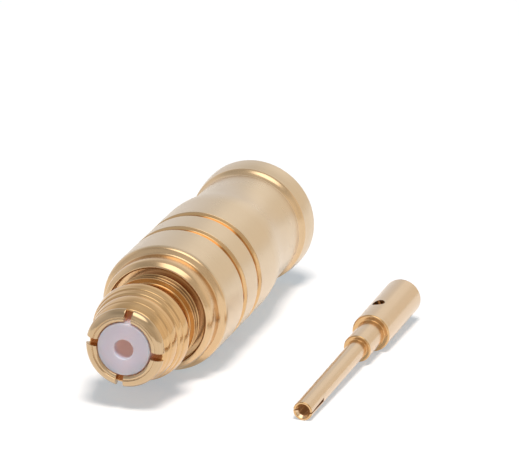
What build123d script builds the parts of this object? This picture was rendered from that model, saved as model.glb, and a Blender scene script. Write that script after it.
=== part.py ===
from build123d import *
import os
from math import atan2, cos, degrees, radians, sin

# Push-on coaxial connector with slotted spring fingers, lying beside its loose centre contact.
# Millimetres. The connector's axis is +Y, towards the cable end, and +Z is up.
# The origin is on the axis, in the plane of the finger tips and of the insulator's front face.
# Y values are distances behind that plane, and every turned profile is drawn as (radius, y).

os.makedirs("parts", exist_ok=True)

# Fits between the turned pieces
press_gap = 0.01          # left between a pressed piece and its bore
edge_break = 0.05         # rounding of the small turned edges

# Slotted spring fingers
finger_bore = 2.16        # inner diameter
finger_neck = 2.66        # diameter of the springing part
bead_diameter = 3.10      # the lip that snaps into the mating shroud
bead_land = 0.10          # length of the lip's full diameter
bead_nose = 0.14          # rounding in front of the land
bead_back = 0.24          # length of the slope from the land down to the neck
tip_bevel = 0.16          # inner lead-in at the finger tips
slot_width = 0.28
slot_depth = 2.9
slot_turn = 8.0           # degrees that the slots are turned from upright

# Front collar around the fingers
collar_front = 0.82       # y of its front face
ring_diameter = 3.40      # front ring, at its rear
ring_taper = 0.08         # how much its radius shrinks towards the front
ring_length = 0.63
shoulder_step = 0.055     # height of the step from the ring up to the shoulder
shoulder_diameter = 3.82
shoulder_slope = 0.62     # length of the shoulder's cone
shoulder_length = 0.73
collar_neck = 3.08        # waist behind the shoulder
collar_neck_length = 1.07
base_ring_diameter = 3.48
base_ring_length = 0.95
collar_bore = 2.76        # holds the fingers' root
shank_diameter = 3.20     # pressed into the body
shank_length = 2.0
finger_free_length = 3.1  # the fingers' thicker root starts here

# Body
body_diameter = 5.04
body_length = 12.4        # from the rim to the rear face
recess_depth = 0.40       # annular recess around the base ring
recess_diameter = 3.90
nose_diameter = 4.48
nose_length = 0.86
nose_shoulder = 0.24      # length of the slope from the nose up to the body
nose_round = 0.22
groove_width = 0.48
groove_depth = 0.13
groove_floor = 0.30       # width of a groove's floor
groove_starts = (6.84, 8.62)
waist_start = 11.1
waist_end = 13.0
waist_diameter = 4.54
waist_edge = 0.08         # how far the taper has dropped at the middle of a straight start
root_diameter = 4.44      # where the waist meets the flange
flange_diameter = 4.90
flange_length = 1.36
flange_lip = 4.78         # diameter at the top of the flange's hollow front
flange_slope = 0.36       # length of that hollow front
flange_fillet = 0.25
flange_crown = 0.80       # length over which the flange grows to its full diameter
flange_round = 0.14
cavity_diameter = 3.30
cable_bore = 3.66         # for a 3.58 mm semi-rigid cable
cable_depth = 3.25
mouth_bevel = 0.10

# Insulator
insulator_tip = 2.02      # diameter between the free fingers
contact_gap = 0.01        # between the contact and its holes

# Loose centre contact
front_barrel = 0.75
front_length = 6.39
middle_barrel = 1.09
middle_length = 1.64
rear_barrel = 1.51
rear_length = 3.95
contact_round = 0.06
socket_bore = 0.40
socket_depth = 1.9
socket_mouth = 0.05       # lead-in bevel for the mating pin
socket_slot = 0.10
socket_slot_depth = 1.4
socket_slot_turn = -8.0   # degrees from level, seen from the front
solder_bore = 0.96
solder_depth = 2.95
solder_mouth = 0.06       # lead-in bevel for the cable's conductor
window_diameter = 0.50    # inspection hole
window_from_shoulder = 1.40
window_turn = 101.0       # degrees from level, seen from the front
contact_seat = 0.35       # how far its tip stands behind the tips when fitted
contact_side = 6.665      # distance beside the connector's axis, at its front end
contact_tip = 1.26        # y of its front end where it lies
contact_turn = 1.6        # degrees that it lies turned away from the connector

# Places along the axis
ring_end = collar_front + ring_length
shoulder_end = ring_end + shoulder_length
collar_neck_end = shoulder_end + collar_neck_length
recess_floor = collar_neck_end + base_ring_length
shank_end = recess_floor + shank_length
rim = recess_floor - recess_depth
rear_face = rim + body_length
nose_end = rim + nose_length
flange_start = rear_face - flange_length
cable_stop = rear_face - cable_depth
bead_back_start = bead_nose + bead_land
middle_seat = contact_seat + front_length
insulator_end = middle_seat + middle_length


def radius(diameter):
    return diameter / 2


def circle_edges(part, diameter, y):
    """The turned edges of one diameter at one place along the axis."""
    return [
        edge
        for edge in part.edges().filter_by(GeomType.CIRCLE)
        if abs(edge.radius - radius(diameter)) < 1e-4 and abs(edge.center().Y - y) < 1e-4
    ]


# Fingers: a turned sleeve, sawn into four springs by two crossed cuts
with BuildPart() as spring_fingers:
    with BuildSketch(Plane.XY):
        with BuildLine():
            tip_start = (radius(finger_bore) + tip_bevel, 0)
            nose_start = (radius(bead_diameter) - bead_nose, 0)
            land_start = (radius(bead_diameter), bead_nose)
            Line(tip_start, nose_start)
            RadiusArc(nose_start, land_start, -bead_nose)
            Polyline(
                land_start,
                (radius(bead_diameter), bead_back_start),
                (radius(finger_neck), bead_back_start + bead_back),
                (radius(finger_neck), finger_free_length),
                (radius(collar_bore) - press_gap, finger_free_length),
                (radius(collar_bore) - press_gap, shank_end),
                (radius(finger_bore), shank_end),
                (radius(finger_bore), tip_bevel),
                tip_start,
            )
        make_face()
    revolve(axis=Axis.Y)
    with BuildSketch(Plane.XZ):
        for turn in (0, 90):
            Rectangle(2 * bead_diameter, slot_width, rotation=turn - slot_turn)
    extrude(amount=-slot_depth, mode=Mode.SUBTRACT)
spring_fingers.part.label = "spring_fingers"
export_step(spring_fingers.part, "parts/spring_fingers.step")


# Collar: stepped ring, shoulder, neck and base ring, turned with the shank that the body holds
with BuildPart() as front_collar:
    with BuildSketch(Plane.XY):
        with BuildLine():
            Polyline(
                (radius(collar_bore), collar_front),
                (radius(ring_diameter) - ring_taper, collar_front),
                (radius(ring_diameter), ring_end),
                (radius(ring_diameter) + shoulder_step, ring_end),
                (radius(shoulder_diameter), ring_end + shoulder_slope),
                (radius(shoulder_diameter), shoulder_end),
                (radius(collar_neck), shoulder_end),
                (radius(collar_neck), collar_neck_end),
                (radius(base_ring_diameter), collar_neck_end),
                (radius(base_ring_diameter), recess_floor),
                (radius(shank_diameter) - press_gap, recess_floor),
                (radius(shank_diameter) - press_gap, shank_end),
                (radius(collar_bore), shank_end),
                close=True,
            )
        make_face()
    revolve(axis=Axis.Y)
    front_edges = circle_edges(front_collar, ring_diameter - 2 * ring_taper, collar_front)
    front_edges += circle_edges(front_collar, shoulder_diameter, shoulder_end)
    front_edges += circle_edges(front_collar, base_ring_diameter, collar_neck_end)
    fillet(front_edges, radius=edge_break)
    chamfer(circle_edges(front_collar, collar_bore, collar_front), length=edge_break)
front_collar.part.label = "front_collar"
export_step(front_collar.part, "parts/front_collar.step")


# Body: turned shell with the front recess, two grooves, the waist, the flange and the cable bore
with BuildPart() as body:
    with BuildSketch(Plane.XY):
        with BuildLine():
            waist_from = (radius(body_diameter), waist_start)
            waist_to = (radius(waist_diameter), waist_end)
            waist_middle = (waist_start + waist_end) / 2
            Polyline(
                (radius(recess_diameter), rim),
                (radius(nose_diameter), rim),
                (radius(nose_diameter), nose_end),
                (radius(body_diameter), nose_end + nose_shoulder),
                waist_from,
            )
            Bezier(
                waist_from,
                (radius(body_diameter) - waist_edge, waist_middle),
                (radius(waist_diameter), waist_middle),
                waist_to,
            )
            Polyline(
                waist_to,
                (radius(root_diameter), flange_start),
                (radius(flange_lip), flange_start + flange_slope),
                (radius(flange_diameter), flange_start + flange_crown),
                (radius(flange_diameter), rear_face),
                (radius(cable_bore), rear_face),
                (radius(cable_bore), cable_stop),
                (radius(cavity_diameter), cable_stop),
                (radius(cavity_diameter), shank_end),
                (radius(shank_diameter), shank_end),
                (radius(shank_diameter), recess_floor),
                (radius(recess_diameter), recess_floor),
                (radius(recess_diameter), rim),
            )
        make_face()
    revolve(axis=Axis.Y)
    with BuildSketch(Plane.XY):
        groove_side = (groove_width - groove_floor) / 2
        for start in groove_starts:
            with BuildLine():
                Polyline(
                    (radius(body_diameter), start),
                    (radius(body_diameter) - groove_depth, start + groove_side),
                    (radius(body_diameter) - groove_depth, start + groove_side + groove_floor),
                    (radius(body_diameter), start + groove_width),
                    close=True,
                )
            make_face()
    revolve(axis=Axis.Y, mode=Mode.SUBTRACT)
    fillet(circle_edges(body, nose_diameter, rim), radius=nose_round)
    fillet(circle_edges(body, recess_diameter, rim), radius=edge_break)
    fillet(circle_edges(body, body_diameter, nose_end + nose_shoulder), radius=edge_break)
    fillet(circle_edges(body, root_diameter, flange_start), radius=flange_fillet)
    fillet(circle_edges(body, flange_diameter, rear_face), radius=flange_round)
    chamfer(circle_edges(body, cable_bore, rear_face), length=mouth_bevel)
body.part.label = "body"
export_step(body.part, "parts/body.step")


# Insulator: one turned bar of fluoropolymer, stepped to fill the fingers and the body
with BuildPart() as insulator:
    with BuildSketch(Plane.XY):
        with BuildLine():
            Polyline(
                (radius(front_barrel) + contact_gap, 0),
                (radius(insulator_tip), 0),
                (radius(insulator_tip), finger_free_length),
                (radius(finger_bore) - press_gap, finger_free_length),
                (radius(finger_bore) - press_gap, shank_end),
                (radius(cavity_diameter) - press_gap, shank_end),
                (radius(cavity_diameter) - press_gap, insulator_end),
                (radius(middle_barrel) + contact_gap, insulator_end),
                (radius(middle_barrel) + contact_gap, middle_seat),
                (radius(front_barrel) + contact_gap, middle_seat),
                close=True,
            )
        make_face()
    revolve(axis=Axis.Y)
insulator.part.label = "insulator"
export_step(insulator.part, "parts/insulator.step")


# Centre contact: a turned pin that lies on the body's own floor, on its tip and its rear shoulder
rear_shoulder = front_length + middle_length
contact_length = rear_shoulder + rear_length
lean = atan2(radius(rear_barrel) - radius(front_barrel), rear_shoulder)
tip_height = contact_round * (1 - sin(lean)) + (radius(front_barrel) - contact_round) * cos(lean)
contact_origin = (contact_side, contact_tip, tip_height - radius(body_diameter))
contact_across = Vector(1, 0, 0).rotate(Axis.Z, -contact_turn)
contact_back = Vector(0, cos(lean), sin(lean)).rotate(Axis.Z, -contact_turn)
contact_up = Vector(0, -sin(lean), cos(lean)).rotate(Axis.Z, -contact_turn)
contact_profile = Plane(origin=contact_origin, x_dir=contact_across, z_dir=contact_up)
contact_front = Plane(origin=contact_origin, x_dir=contact_across, z_dir=-contact_back)
contact_axis = Axis(contact_origin, contact_back)


def along_contact(distance):
    """A point on the contact's own axis, behind its tip."""
    return contact_axis.position + contact_axis.direction * distance


def contact_edges(part, diameter, distance):
    """The contact's turned edges of one diameter at one distance behind its tip."""
    return [
        edge
        for edge in part.edges().filter_by(GeomType.CIRCLE)
        if abs(edge.radius - radius(diameter)) < 1e-4
        and (edge.arc_center - along_contact(distance)).length < 1e-4
    ]


with BuildPart() as centre_contact:
    with BuildSketch(contact_profile):
        with BuildLine():
            Polyline(
                (radius(socket_bore), 0),
                (radius(front_barrel), 0),
                (radius(front_barrel), front_length),
                (radius(middle_barrel), front_length),
                (radius(middle_barrel), rear_shoulder),
                (radius(rear_barrel), rear_shoulder),
                (radius(rear_barrel), contact_length),
                (radius(solder_bore), contact_length),
                (radius(solder_bore), contact_length - solder_depth),
                (0, contact_length - solder_depth),
                (0, socket_depth),
                (radius(socket_bore), socket_depth),
                close=True,
            )
        make_face()
    revolve(axis=contact_axis)
    outer_edges = contact_edges(centre_contact, front_barrel, 0)
    outer_edges += contact_edges(centre_contact, middle_barrel, front_length)
    outer_edges += contact_edges(centre_contact, rear_barrel, rear_shoulder)
    outer_edges += contact_edges(centre_contact, rear_barrel, contact_length)
    fillet(outer_edges, radius=contact_round)
    chamfer(contact_edges(centre_contact, socket_bore, 0), length=socket_mouth)
    chamfer(contact_edges(centre_contact, solder_bore, contact_length), length=solder_mouth)
    with BuildSketch(contact_front):
        Rectangle(2 * front_barrel, socket_slot, rotation=socket_slot_turn)
    extrude(amount=-socket_slot_depth, mode=Mode.SUBTRACT)
    window_x = cos(radians(window_turn))
    window_z = sin(radians(window_turn))
    window_plane = Plane(
        origin=along_contact(rear_shoulder + window_from_shoulder),
        z_dir=contact_across * window_x + contact_up * window_z,
    )
    with BuildSketch(window_plane):
        Circle(radius(window_diameter))
    extrude(amount=rear_barrel, mode=Mode.SUBTRACT)
centre_contact.part.label = "centre_contact"
export_step(centre_contact.part, "parts/centre_contact.step")

print("overall length", round(rear_face, 3), "contact length", round(contact_length, 3))
print("contact lean", round(degrees(lean), 2), "degrees")
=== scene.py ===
from math import asin, atan2, cos, pi, radians, sin

import bmesh
import bpy
from mathutils import Matrix, Vector


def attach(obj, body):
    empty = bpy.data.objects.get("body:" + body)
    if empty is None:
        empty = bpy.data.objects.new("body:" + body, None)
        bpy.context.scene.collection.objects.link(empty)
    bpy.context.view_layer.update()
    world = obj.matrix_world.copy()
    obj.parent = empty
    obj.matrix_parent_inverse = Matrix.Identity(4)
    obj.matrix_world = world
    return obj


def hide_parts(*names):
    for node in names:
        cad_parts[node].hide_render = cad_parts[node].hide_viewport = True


# A push-on coaxial connector with slotted spring fingers, lying beside its loose centre contact.
# The connector's axis is Y, its finger tips lie in the plane y = 0, and Z is up.
# Shapes are drawn in millimetres and scaled to metres when a piece is finished.

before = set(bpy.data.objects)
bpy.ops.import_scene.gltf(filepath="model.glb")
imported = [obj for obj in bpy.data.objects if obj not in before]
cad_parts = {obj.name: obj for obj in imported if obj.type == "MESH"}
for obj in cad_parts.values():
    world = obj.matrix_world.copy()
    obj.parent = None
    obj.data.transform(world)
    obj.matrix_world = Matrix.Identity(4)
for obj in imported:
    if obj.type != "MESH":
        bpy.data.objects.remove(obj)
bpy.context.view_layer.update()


# Camera: a long lens in front of the connector, on its contact's side, looking down 19 degrees.
# Its place and turn come from circles fitted to the photographed rings.
sensor_width = 36
focal_pixels, picture_pixels = 6000, 519
camera_data = bpy.data.cameras.new("camera")
camera_data.sensor_width = sensor_width
camera_data.lens = focal_pixels / picture_pixels * sensor_width
camera_data.clip_start = 0.01
camera_data.clip_end = 20
camera = bpy.data.objects.new("camera", camera_data)
bpy.context.collection.objects.link(camera)
to_right = Vector((0.9513044, 0.3082530, 0.0))
to_top = Vector((-0.0998490, 0.3081454, 0.9460849))
to_viewer = Vector((0.2916335, -0.9000147, 0.3239188))
camera_place = Vector((0.0700747, -0.1996488, 0.0769739))
camera_turn = Matrix((to_right, to_top, to_viewer)).transposed().to_4x4()
camera.matrix_world = Matrix.Translation(camera_place) @ camera_turn
bpy.context.scene.camera = camera
bpy.context.scene.view_settings.view_transform = "Standard"


# Body: the shell of the connector, turned in one piece from brass and plated with satin gold.
# It has a recess round the collar, a bevelled nose, two grooves, a smooth waist and a flange with
# a polished hollow front. The cable is soldered into its rear bore.
def outline(corners):
    """A closed wire of (radius, y, rounding) corners, with support points near long runs' ends."""
    long_run, support = 0.09, 0.02
    bm = bmesh.new()
    points = [bm.verts.new((r, y, 0)) for r, y, _ in corners]
    for start, end in zip(points, points[1:] + points[:1]):
        bm.edges.new((start, end))
    for point, (_, _, rounding) in zip(points, corners):
        if rounding:
            steps = 3 + int(rounding * 22)
            bmesh.ops.bevel(
                bm, geom=[point], offset=rounding, offset_type="OFFSET", affect="VERTICES",
                segments=steps, profile=0.5, material=-1,
            )
    for edge in [e for e in bm.edges if e.calc_length() > long_run]:
        rest, _ = bmesh.utils.edge_split(edge, edge.verts[0], support / edge.calc_length())
        longer = max((edge, rest), key=lambda e: e.calc_length())
        far = next(v for v in longer.verts if v.co != edge.verts[0].co)
        bmesh.utils.edge_split(longer, far, support / longer.calc_length())
    return bm


def turn(bm, steps=256, angle=2 * pi):
    """Turns a wire about the Y axis, as the lathe did."""
    same_point = 5e-4
    bmesh.ops.spin(
        bm, geom=bm.verts[:] + bm.edges[:], cent=(0, 0, 0), axis=(0, 1, 0), dvec=(0, 0, 0),
        angle=angle, steps=steps, use_merge=angle == 2 * pi, use_duplicate=False,
    )
    bmesh.ops.remove_doubles(bm, verts=bm.verts, dist=same_point)
    bmesh.ops.delete(bm, geom=[e for e in bm.edges if not e.link_faces], context="EDGES")
    bmesh.ops.recalc_face_normals(bm, faces=bm.faces)
    return bm


def piece(name, bm, material, node):
    """Scales a mesh to metres, shades it and puts it in the place of its node."""
    sharpest_smooth = radians(32)
    bmesh.ops.scale(bm, vec=(0.001, 0.001, 0.001), verts=bm.verts)
    bmesh.ops.recalc_face_normals(bm, faces=bm.faces)
    mesh = bpy.data.meshes.new(name)
    bm.to_mesh(mesh)
    bm.free()
    mesh.shade_smooth()
    mesh.set_sharp_from_angle(angle=sharpest_smooth)
    mesh.materials.append(material)
    made = bpy.data.objects.new(name, mesh)
    bpy.context.collection.objects.link(made)
    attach(made, "root")
    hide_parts(node)


class Wire:
    """A socket of a shader tree. Sums and products of it add Math nodes, and node() any other."""

    def __init__(self, tree, socket=None):
        self.tree = tree
        self.socket = socket

    def node(self, kind, settings=(), values=(), output=0):
        made = self.tree.nodes.new(kind)
        for key, value in dict(settings).items():
            if key == "stops":
                ramp = made.color_ramp.elements
                ramp[0].position, ramp[0].color = value[0]
                ramp[1].position, ramp[1].color = value[-1]
                for position, colour in value[1:-1]:
                    ramp.new(position).color = colour
            else:
                setattr(made, key, value)
        for key, value in dict(values).items():
            if isinstance(value, Wire):
                self.tree.links.new(value.socket, made.inputs[key])
            else:
                made.inputs[key].default_value = value
        return Wire(self.tree, made.outputs[output]) if len(made.outputs) else Wire(self.tree)

    def maths(self, operation, first, second=0.0, clamp=False):
        settings = {"operation": operation, "use_clamp": clamp}
        return self.node("ShaderNodeMath", settings, {0: first, 1: second})

    def __add__(self, other):
        return self.maths("ADD", self, other)

    def __sub__(self, other):
        return self.maths("SUBTRACT", self, other)

    def __rsub__(self, other):
        return self.maths("SUBTRACT", other, self)

    def __mul__(self, other):
        return self.maths("MULTIPLY", self, other)

    def __truediv__(self, other):
        return self.maths("DIVIDE", self, other)

    def __pow__(self, other):
        return self.maths("POWER", self, other)

    __radd__ = __add__
    __rmul__ = __mul__

    def mixed(self, low, high):
        """A colour between low and high, by this factor."""
        values = {"Factor": self, "A": low, "B": high}
        return self.node("ShaderNodeMix", {"data_type": "RGBA"}, values, output="Result")

    def stepped(self, low, high, at_low=0.0, at_high=1.0):
        """A smooth step from at_low to at_high, as this value goes from low to high."""
        settings = {"interpolation_type": "SMOOTHSTEP"}
        values = {"From Min": low, "From Max": high, "To Min": at_low, "To Max": at_high}
        return self.node("ShaderNodeMapRange", settings, {"Value": self, **values})

    def noise(self, scale, detail, roughness=0.5, distortion=0.0):
        """Noise in the three directions of this vector."""
        values = {"Vector": self, "Scale": scale, "Detail": detail, "Roughness": roughness}
        return self.node("ShaderNodeTexNoise", values={**values, "Distortion": distortion})

    def ringed_noise(self, fourth, scale, detail, roughness=0.5):
        """Noise in the three directions of this vector and a fourth one."""
        values = {"W": fourth, "Scale": scale, "Detail": detail, "Roughness": roughness}
        settings = {"noise_dimensions": "4D"}
        return self.node("ShaderNodeTexNoise", settings, {"Vector": self, **values})

    def split(self):
        """The x, y and z of this vector."""
        return [self.node("ShaderNodeSeparateXYZ", values={0: self}, output=axis) for axis in "XYZ"]


def shader(name):
    """An empty material and the start of its tree."""
    material = bpy.data.materials.new(name)
    material.use_nodes = True
    material.node_tree.nodes.clear()
    return material, Wire(material.node_tree)


def surfaced(start, values):
    """Ends a material's tree with a principled surface of these values."""
    surface = start.node("ShaderNodeBsdfPrincipled", values=values)
    start.node("ShaderNodeOutputMaterial", values={"Surface": surface})


def turned_places(start, location=(0, 0, 0), turned=(0, 0, 0)):
    """Places on a turned piece, in millimetres: the point, its way along the axis and its radius,
    then its sideways and upward shares of that radius, which go once round the piece."""
    spot = start.node("ShaderNodeTexCoord", output="Object")
    spot = start.node(
        "ShaderNodeMapping", {"vector_type": "TEXTURE"},
        {"Vector": spot, "Location": location, "Rotation": turned, "Scale": (0.001, 0.001, 0.001)},
    )
    across, along, up = spot.split()
    above_zero = 0.0001
    radius = (across * across + up * up + above_zero) ** 0.5
    return spot, along, radius, across / radius, up / radius


def plating(
    name, colour, deep, roughness, marks, pitch, location=(0, 0, 0), turned=(0, 0, 0),
    bright_cuts=(), hollow=None, painted_shade=None,
):
    """Gold plating on a turned surface: cutting marks run round it, with soft smudges on top.

    colour is its lightest tone and deep its deepest.
    marks is the depth of the cutting marks in millimetres, and pitch how many are in a millimetre.
    bright_cuts lists (from, to, share) stretches along the axis that a second tool cut smooth, so
    they shine more.
    hollow is the (radius, y) inside and behind which gold faces gold; a warm glow is painted in
    there as emission, standing for light that bounced between them.
    painted_shade is the (radius, y) inside and behind which the gold is darkened as painted shade.
    """
    drift, coarse_scale, fine_scale, smudge_scale = 0.22, 1.0, 3.7, 0.55
    contrast, middle = 2.6, 0.55
    cut_blend, radius_blend, depth_blend = 0.02, 0.02, 0.04
    bright_deep, bright_light = (0.65, 0.40, 0.18, 1), (0.76, 0.485, 0.245, 1)
    # The warm glow here is painted light, and the dark tint after it is painted shade.
    black, warm_glow, shade_brown = (0, 0, 0, 1), (0.085, 0.042, 0.016, 1), (0.32, 0.165, 0.065, 1)

    material, start = shader(name)
    spot, along, radius, east, north = turned_places(start, location, turned)

    def within(limit_radius, limit_y):
        """1 inside the radius and behind the y, and 0 elsewhere."""
        inner = radius.stepped(limit_radius + radius_blend, limit_radius - radius_blend)
        return inner * along.stepped(limit_y - depth_blend, limit_y + depth_blend)

    rings = start.node(
        "ShaderNodeCombineXYZ",
        values={"X": along * pitch, "Y": radius * pitch, "Z": east * drift},
    )
    coarse = rings.ringed_noise(north * drift, coarse_scale, 2.0, roughness=0.6)
    fine = rings.ringed_noise(north * drift, fine_scale, 2.0)
    smudge = spot.noise(smudge_scale, 4.0, roughness=0.62, distortion=0.4)

    bright = along * 0.0
    for low, high, share in bright_cuts:
        begun, ended = (along.stepped(y - cut_blend, y + cut_blend) for y in (low, high))
        bright = (begun - ended) * share + bright

    uneven = coarse * 0.5 + fine * 0.25 + smudge * 0.25 - 0.5
    tone = start.maths("ADD", uneven * contrast, middle, clamp=True)
    gold = bright.mixed(
        tone.mixed((*deep, 1), (*colour, 1)), tone.mixed(bright_deep, bright_light)
    )
    # Painted shade: inside and behind the given radius and y the gold is darkened, as shade in a
    # recess.
    if painted_shade:
        gold = within(*painted_shade).mixed(gold, shade_brown)

    satin_roughness = (coarse - 0.5) * 0.10 + (smudge - 0.5) * 0.16 + roughness
    bright_roughness = fine * 0.10 + 0.09
    smoother = bright * (bright_roughness - satin_roughness)
    height = (coarse * 0.6 + fine * 0.4) * (bright * 2.0 + 1.0)
    bump = {"Strength": 1.0, "Distance": marks * 0.001, "Height": height}
    values = {
        "Base Color": gold,
        "Metallic": 1.0,
        "Roughness": start.maths("ADD", satin_roughness, smoother, clamp=True),
        "Normal": start.node("ShaderNodeBump", values=bump),
    }
    # Painted light: inside and behind the hollow's radius and y the gold emits a warm glow, standing
    # for bounced light.
    if hollow:
        values["Emission Color"] = within(*hollow).mixed(black, warm_glow)
        values["Emission Strength"] = 1.0
    surfaced(start, values)
    return material


body_radius, groove_radius, waist_radius, flange_radius = 2.52, 2.39, 2.275, 2.45
recess_radius, shank_bore, cavity_radius, cable_bore = 1.95, 1.60, 1.65, 1.83
nose_front, recess_floor, cavity_front, cable_stop, body_end = 3.80, 4.20, 6.20, 12.95, 16.20
groove_fronts, groove_width, groove_slope = (6.84, 8.62), 0.48, 0.035
body_corners = [
    (recess_radius, nose_front + 0.04, 0.02), (1.98, nose_front, 0.02), (2.04, nose_front, 0.03),
    (2.20, 3.945, 0.05), (2.24, 4.10, 0.08), (2.24, 4.70, 0.06), (2.46, 4.80, 0.05),
    (body_radius, 4.92, 0.04),
]
groove_cuts = []
for groove_front in groove_fronts:
    groove_back = groove_front + groove_width
    body_corners += [
        (body_radius, groove_front, 0.02), (groove_radius, groove_front + groove_slope, 0.03),
        (groove_radius, groove_back - groove_slope, 0.03), (body_radius, groove_back, 0.02),
    ]
    groove_cuts.append((groove_front, groove_back, 1.0))
body_corners += [
    (body_radius, 11.25, 0.45), (waist_radius, 12.85, 0.6), (2.22, 14.88, 0.13),
    (2.39, 15.08, 0.05), (flange_radius, 15.60, 0.2), (flange_radius, body_end, 0.13),
    (cable_bore + 0.10, body_end, 0.02), (cable_bore, body_end - 0.10, 0),
    (cable_bore, cable_stop, 0), (cavity_radius, cable_stop, 0), (cavity_radius, cavity_front, 0),
    (shank_bore, cavity_front, 0), (shank_bore, recess_floor, 0),
    (recess_radius, recess_floor, 0.03),
]
# The warm glow in the recess behind the nose and in the rear bores is painted light.
satin_gold = plating(
    "satin_gold", colour=(0.745, 0.58, 0.395), deep=(0.70, 0.53, 0.345),
    roughness=0.30, marks=0.0004, pitch=9.0,
    bright_cuts=((3.6, 4.86, 0.6), *groove_cuts, (14.80, 15.14, 0.45)), hollow=(1.97, 3.90),
)
piece("body", turn(outline(body_corners)), satin_gold, "body")


# Insulator: a white fluoropolymer bar, turned to fill the fingers and the body behind them.
# Its front face is nearly flush with the finger tips, and its stepped hole is for the contact.
hole_radius, counterbore_radius = 0.385, 0.555
face_radius, bar_radius, head_radius = 1.03, 1.07, 1.64
face_front, face_back, counterbore_floor, insulator_end = 0.02, 3.10, 6.74, 8.38
insulator_corners = [
    (hole_radius, face_front, 0.035), (face_radius, face_front, 0.03), (face_radius, face_back, 0),
    (bar_radius, face_back, 0), (bar_radius, cavity_front, 0), (head_radius, cavity_front, 0),
    (head_radius, insulator_end, 0), (counterbore_radius, insulator_end, 0),
    (counterbore_radius, counterbore_floor, 0), (hole_radius, counterbore_floor, 0),
]
white_low, white_high = (0.63, 0.575, 0.655, 1), (0.71, 0.655, 0.735, 1)
# The hole's pinkish tan is painted shade with a warm cast, and the two glows are painted light.
hole_shade = (0.62, 0.40, 0.33, 1)
hole_glow, side_glow = (0.15, 0.12, 0.11, 1), (0.11, 0.05, 0.035, 1)
face_marks, face_pitch, face_drift = 0.0008, 14.0, 0.4
white_material, start = shader("white_fluoropolymer")
spot, along, radius, east, north = turned_places(start)
rings = start.node(
    "ShaderNodeCombineXYZ",
    values={"X": along * face_pitch, "Y": radius * face_pitch, "Z": east * face_drift},
)
facing = rings.ringed_noise(north * face_drift, 1.0, 2.0)
cloud = spot.noise(1.3, 3.0)
# Painted light and shade: behind the front face, in the hole and on the sides, the white gives way
# to painted shade and a glow is emitted.
inside = along.stepped(0.10, 0.60)
white = (cloud * 0.7 + facing * 0.3).mixed(white_low, white_high)
inner_glow = radius.stepped(0.6, 0.9).mixed(hole_glow, side_glow)
face_height = facing * 0.8 + cloud * 0.2
face_bump = {"Strength": 1.0, "Distance": face_marks * 0.001, "Height": face_height}
surfaced(start, {
    "Base Color": inside.mixed(white, hole_shade),
    "Roughness": cloud * 0.1 + 0.5,
    "Subsurface Weight": 0.8,
    "Subsurface Radius": (1.0, 0.6, 0.5),
    "Subsurface Scale": 0.0012,
    "Emission Color": inside.mixed((0, 0, 0, 1), inner_glow),
    "Emission Strength": 1.0,
    "Normal": start.node("ShaderNodeBump", values=face_bump),
})
insulator = turn(outline(insulator_corners), steps=192)
piece("insulator", insulator, white_material, "insulator")


# Front collar: a brass ring with a larger shoulder, a neck and a base ring, turned and polished
# before plating. Its shank is pressed into the body, and the base ring stands in the recess.
collar_bore, neck_radius, shank_radius, base_radius = 1.38, 1.54, 1.59, 1.70
shoulder_back, base_front = 2.18, 3.27
collar_corners = [
    (collar_bore, 0.50, 0), (1.42, 0.43, 0.01), (1.47, 0.45, 0.03), (1.60, 0.76, 0.11),
    (1.605, 0.83, 0.01), (1.565, 0.865, 0.008), (1.635, 0.89, 0.015), (1.69, 1.14, 0.12),
    (1.70, 1.39, 0.02), (1.65, 1.43, 0.008), (1.755, 1.47, 0.02), (1.80, 1.66, 0.05),
    (1.80, 1.69, 0.01), (1.77, 1.715, 0.006), (1.84, 1.74, 0.02), (1.90, 1.98, 0.10),
    (1.91, 2.14, 0.03), (1.89, shoulder_back, 0.015), (neck_radius, shoulder_back, 0.03),
    (neck_radius, base_front, 0.05), (1.735, 3.24, 0.01), (1.76, 3.25, 0.010),
    (1.76, 3.29, 0.012), (base_radius, 3.33, 0.02), (base_radius, 3.47, 0.02),
    (1.75, 3.50, 0.012), (1.75, 3.53, 0.012), (base_radius, 3.57, 0.02),
    (base_radius, 3.70, 0.02), (1.76, 3.73, 0.012), (1.76, 3.77, 0.012),
    (base_radius, 3.80, 0), (base_radius, recess_floor, 0), (shank_radius, recess_floor, 0),
    (shank_radius, cavity_front, 0), (collar_bore, cavity_front, 0),
]
# The warm glow in the collar's bore is painted light, and the darkened sides of the base ring in the
# recess are painted shade.
polished_gold = plating(
    "polished_gold", colour=(0.77, 0.51, 0.265), deep=(0.62, 0.37, 0.16),
    roughness=0.15, marks=0.0034, pitch=8.0, hollow=(1.45, 0.40), painted_shade=(1.735, 3.31),
)
piece("front_collar", turn(outline(collar_corners)), polished_gold, "front_collar")


# Spring fingers: a thin beryllium copper sleeve in the collar, its rounded lip made to snap into
# the mating part. Two crossed saw cuts divide its front into four springs, and the collar holds
# its thicker root.
slot_width, slot_depth, slot_turn = 0.28, 2.9, 8.0
finger_bore, finger_radius, root_radius = 1.08, 1.33, 1.37
finger_corners = [
    (1.05, 0.10, 0.02), (1.10, 0.04, 0.03), (1.19, 0.005, 0.03), (1.23, 0.035, 0.008),
    (1.245, 0.035, 0.008), (1.265, 0, 0.015), (1.33, 0.02, 0.05), (1.42, 0.065, 0.07),
    (1.50, 0.135, 0.07), (1.55, 0.22, 0.06), (1.55, 0.30, 0.03), (finger_radius, 0.48, 0.04),
    (finger_radius, slot_depth, 0), (finger_bore, slot_depth, 0), (finger_bore, 0.30, 0),
    (1.05, 0.20, 0),
]
root_corners = [
    (finger_bore, slot_depth, 0), (finger_radius, slot_depth, 0), (finger_radius, face_back, 0),
    (root_radius, face_back, 0), (root_radius, cavity_front, 0), (finger_bore, cavity_front, 0),
]


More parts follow.
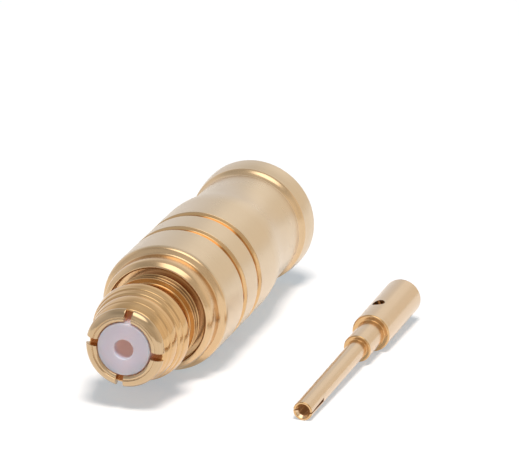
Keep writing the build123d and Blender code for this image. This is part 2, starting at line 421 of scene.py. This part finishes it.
def sawn(bm, width_at, edge):
    """Draws a part turn in by half a parallel saw cut at each end, then caps and bevels the ends."""
    span = max(atan2(abs(v.co.z), v.co.x) for v in bm.verts)
    for v in bm.verts:
        radius, angle = (v.co.x ** 2 + v.co.z ** 2) ** 0.5, atan2(abs(v.co.z), v.co.x)
        drawn = asin(width_at(v.co.y) / 2 / radius)
        angle = drawn + angle / span * (span - 2 * drawn)
        v.co.x, v.co.z = radius * cos(angle), radius * sin(angle)
    rims = [e for e in bm.edges if e.is_boundary]
    caps = bmesh.ops.holes_fill(bm, edges=rims, sides=0)["faces"]
    bmesh.ops.recalc_face_normals(bm, faces=bm.faces)
    bmesh.ops.bevel(
        bm, geom=list({e for f in caps for e in f.edges}), offset=edge, offset_type="OFFSET",
        affect="EDGES", segments=2, profile=0.5, material=-1, clamp_overlap=True,
    )
    return bm


def join(whole, part):
    """Moves a part's mesh into the mesh of the whole."""
    copy = bpy.data.meshes.new("copy")
    part.to_mesh(copy)
    part.free()
    whole.from_mesh(copy)
    bpy.data.meshes.remove(copy)


def add_springs(whole, corners, count, steps, width_at, edge, first_angle):
    """Adds a ring of springs to a piece, with a saw cut between each two."""
    share = 2 * pi / count
    for number in range(count):
        spring = sawn(turn(outline(corners), steps=steps, angle=-share), width_at, edge)
        turned = Matrix.Rotation(number * share + radians(first_angle), 3, "Y")
        bmesh.ops.rotate(spring, verts=spring.verts, cent=(0, 0, 0), matrix=turned)
        join(whole, spring)


fingers = bmesh.new()
add_springs(
    fingers, finger_corners, count=4, steps=48, width_at=lambda y: slot_width, edge=0.015,
    first_angle=slot_turn,
)
join(fingers, turn(outline(root_corners)))
# The warm glow behind the lip, in the saw cuts and on the sleeve, is painted light.
finger_gold = plating(
    "finger_gold", colour=(0.67, 0.485, 0.30), deep=(0.55, 0.375, 0.205),
    roughness=0.12, marks=0.0012, pitch=9.0, hollow=(1.50, 0.34),
)
piece("spring_fingers", fingers, finger_gold, "spring_fingers")


# Centre contact: turned in beryllium copper and gold plated, shown loose beside the connector.
# Its slotted socket takes the mating pin, and the cable's conductor is soldered into its rear
# barrel, which has a window to see the solder.
tip_radius, step_radius, rear_radius, tip_edge = 0.375, 0.545, 0.755, 0.06
socket_radius, socket_depth, petal_length, petal_turn = 0.20, 1.9, 1.4, 6
step_y, shoulder, contact_length = 6.39, 8.03, 11.98
solder_radius, solder_end = 0.48, contact_length - 2.95
window_y, window_turn, window_radius = shoulder + 1.40, radians(101), 0.25
lean, yaw = atan2(rear_radius - tip_radius, shoulder), -radians(1.6)
tip_height = tip_edge * (1 - sin(lean)) + (tip_radius - tip_edge) * cos(lean)
tip = (6.665, 1.26, tip_height - body_radius)
contact_corners = [
    (socket_radius, petal_length, 0), (tip_radius, petal_length, 0), (tip_radius, step_y, 0.015),
    (step_radius, step_y, 0.05), (step_radius, shoulder, 0.02), (rear_radius, shoulder, 0.055),
    (rear_radius, contact_length, 0.055), (0.54, contact_length, 0.01),
    (solder_radius, contact_length - 0.06, 0), (solder_radius, solder_end, 0),
    (0.0, solder_end, 0), (0.0, socket_depth, 0), (socket_radius, socket_depth, 0),
]
petal_corners = [
    (0.30, 0, 0.01), (tip_radius, 0, 0.04), (tip_radius, petal_length, 0),
    (socket_radius, petal_length, 0), (socket_radius, 0.12, 0),
]


def drilled(bm, centre, turned, radius):
    """Drills a window out through a turned piece's wall, and gives the mesh that is left."""
    reach = 1.2
    place = Matrix.Translation(centre) @ Matrix.Rotation(-turned, 4, "Y")
    sideways = Matrix.Translation((reach / 2, 0, 0)) @ Matrix.Rotation(pi / 2, 4, "Y")
    drill = bmesh.new()
    bmesh.ops.create_cone(
        drill, cap_ends=True, cap_tris=False, segments=48, radius1=radius, radius2=radius,
        depth=reach, matrix=place @ sideways,
    )
    made = []
    for name, shape in (("blank", bm), ("drill", drill)):
        mesh = bpy.data.meshes.new(name)
        shape.to_mesh(mesh)
        shape.free()
        made.append(bpy.data.objects.new(name, mesh))
        bpy.context.collection.objects.link(made[-1])
    cut = made[0].modifiers.new("cut", "BOOLEAN")
    cut.operation, cut.solver, cut.object = "DIFFERENCE", "EXACT", made[1]
    left = bmesh.new()
    left.from_object(made[0], bpy.context.evaluated_depsgraph_get())
    for thing in made:
        mesh = thing.data
        bpy.data.objects.remove(thing)
        bpy.data.meshes.remove(mesh)
    return left


def saw_cut(y):
    """The width of the socket's slot, which opens a little from the tip inwards."""
    return 0.05 + 0.10 * min(y / petal_length, 1)


contact = turn(outline(contact_corners), steps=128)
add_springs(
    contact, petal_corners, count=2, steps=64, width_at=saw_cut, edge=0.01, first_angle=petal_turn
)
contact = drilled(contact, (0, window_y, 0), window_turn, window_radius)
for angle, axis in ((lean, "X"), (yaw, "Z")):
    turned = Matrix.Rotation(angle, 3, axis)
    bmesh.ops.rotate(contact, verts=contact.verts, cent=(0, 0, 0), matrix=turned)
bmesh.ops.translate(contact, verts=contact.verts, vec=tip)
# Inside the socket, the warm glow is painted light and the darkening is painted shade.
contact_gold = plating(
    "contact_gold", colour=(0.74, 0.555, 0.375), deep=(0.715, 0.525, 0.345),
    roughness=0.22, marks=0.0001, pitch=5.0,
    location=[v / 1000 for v in tip], turned=(lean, 0, yaw),
    bright_cuts=(
        (-0.02, 0.03, 1.0), (step_y - 0.04, step_y + 0.04, 1.0),
        (shoulder - 0.04, shoulder + 0.06, 1.0),
    ),
    hollow=(0.34, 0.05), painted_shade=(0.35, 0.12),
)
piece("centre_contact", contact, contact_gold, "centre_contact")


# Stage: a plain white floor under the body's lowest line, a white surround and one soft lamp.
# The floor keeps the object's soft shadow, and the camera sees it and the surround as white.
# The metal sees a tent in the surround's place, with a bright panel over it for the highlights.
def rays(start, kind):
    """1 for rays of this kind, and 0 for others."""
    return start.node("ShaderNodeLightPath", output=f"Is {kind} Ray")


floor_mesh = bmesh.new()
bmesh.ops.create_grid(floor_mesh, x_segments=1, y_segments=1, size=3)
bmesh.ops.translate(floor_mesh, verts=floor_mesh.verts, vec=(0, 0, -body_radius / 1000))
floor_data = bpy.data.meshes.new("floor")
floor_mesh.to_mesh(floor_data)
floor_mesh.free()
floor = bpy.data.objects.new("floor", floor_data)
bpy.context.collection.objects.link(floor)
white_floor, start = shader("white_floor")
seen = start.maths(
    "ADD", rays(start, "Camera") + rays(start, "Glossy"), rays(start, "Transmission"), clamp=True
)
shaded = start.node("ShaderNodeBsdfDiffuse", values={"Color": (0.81, 0.735, 0.68, 1)})
lit = start.node("ShaderNodeEmission", values={"Color": (0.25, 0.325, 0.38, 1), "Strength": seen})
both = start.node("ShaderNodeAddShader", values={0: shaded, 1: lit})
start.node("ShaderNodeOutputMaterial", values={"Surface": both})
floor_data.materials.append(white_floor)

world = bpy.data.worlds.new("studio")
bpy.context.scene.world = world
world.use_nodes = True
world.node_tree.nodes.clear()
start = Wire(world.node_tree)
direction = start.node("ShaderNodeTexCoord", output="Generated")
across, back, up = direction.split()
round_axis = start.maths("ARCTAN2", up, across) * (0.5 / pi) + 0.5
tent_stops = [
    (0.00, (0.80, 0.82, 0.87, 1)), (0.30, (0.84, 0.81, 0.77, 1)), (0.42, (0.78, 0.72, 0.62, 1)),
    (0.533, (0.82, 0.76, 0.67, 1)), (0.63, (0.82, 0.79, 0.73, 1)), (0.68, (0.94, 0.93, 0.91, 1)),
    (0.758, (1.0, 1.0, 0.98, 1)), (0.81, (0.78, 0.78, 0.78, 1)), (0.87, (0.74, 0.76, 0.79, 1)),
    (0.95, (0.79, 0.81, 0.86, 1)), (1.00, (0.80, 0.82, 0.87, 1)),
]
tent = start.node("ShaderNodeValToRGB", {"stops": tent_stops}, {"Fac": round_axis})
front = back.stepped(-0.8, 0.2, 0.78, 1.1)
ceiling = up.stepped(0.45, 0.75, 1.0, 0.66)
to_key = {0: direction, 1: (0.18, -0.33, 0.926)}
toward_key = start.node(
    "ShaderNodeVectorMath", {"operation": "DOT_PRODUCT"}, to_key, output="Value"
)
key_glow = toward_key.stepped(0.88, 0.96, 0.0, 1.7)
glossy = rays(start, "Glossy")
plain = rays(start, "Camera") + rays(start, "Transmission")
fill = 0.28
strength = glossy * (front * ceiling + key_glow) + plain + (1 - glossy - plain) * fill
surround = {"Color": glossy.mixed((1, 1, 1, 1), tent), "Strength": strength}
start.node(
    "ShaderNodeOutputWorld", values={"Surface": start.node("ShaderNodeBackground", values=surround)}
)

lamp_data = bpy.data.lights.new("overhead", "AREA")
lamp_data.shape = "RECTANGLE"
lamp_data.size, lamp_data.size_y = 0.14, 0.14
lamp_data.energy = 2.12
lamp = bpy.data.objects.new("overhead", lamp_data)
lamp.visible_glossy = False
bpy.context.collection.objects.link(lamp)
lamp_place, lamp_aim = Vector((0.080, -0.162, 0.482)), Vector((0.003, 0.008, -0.0025))
lamp_turn = (lamp_aim - lamp_place).to_track_quat("-Z", "Y").to_matrix().to_4x4()
lamp.matrix_world = Matrix.Translation(lamp_place) @ lamp_turn
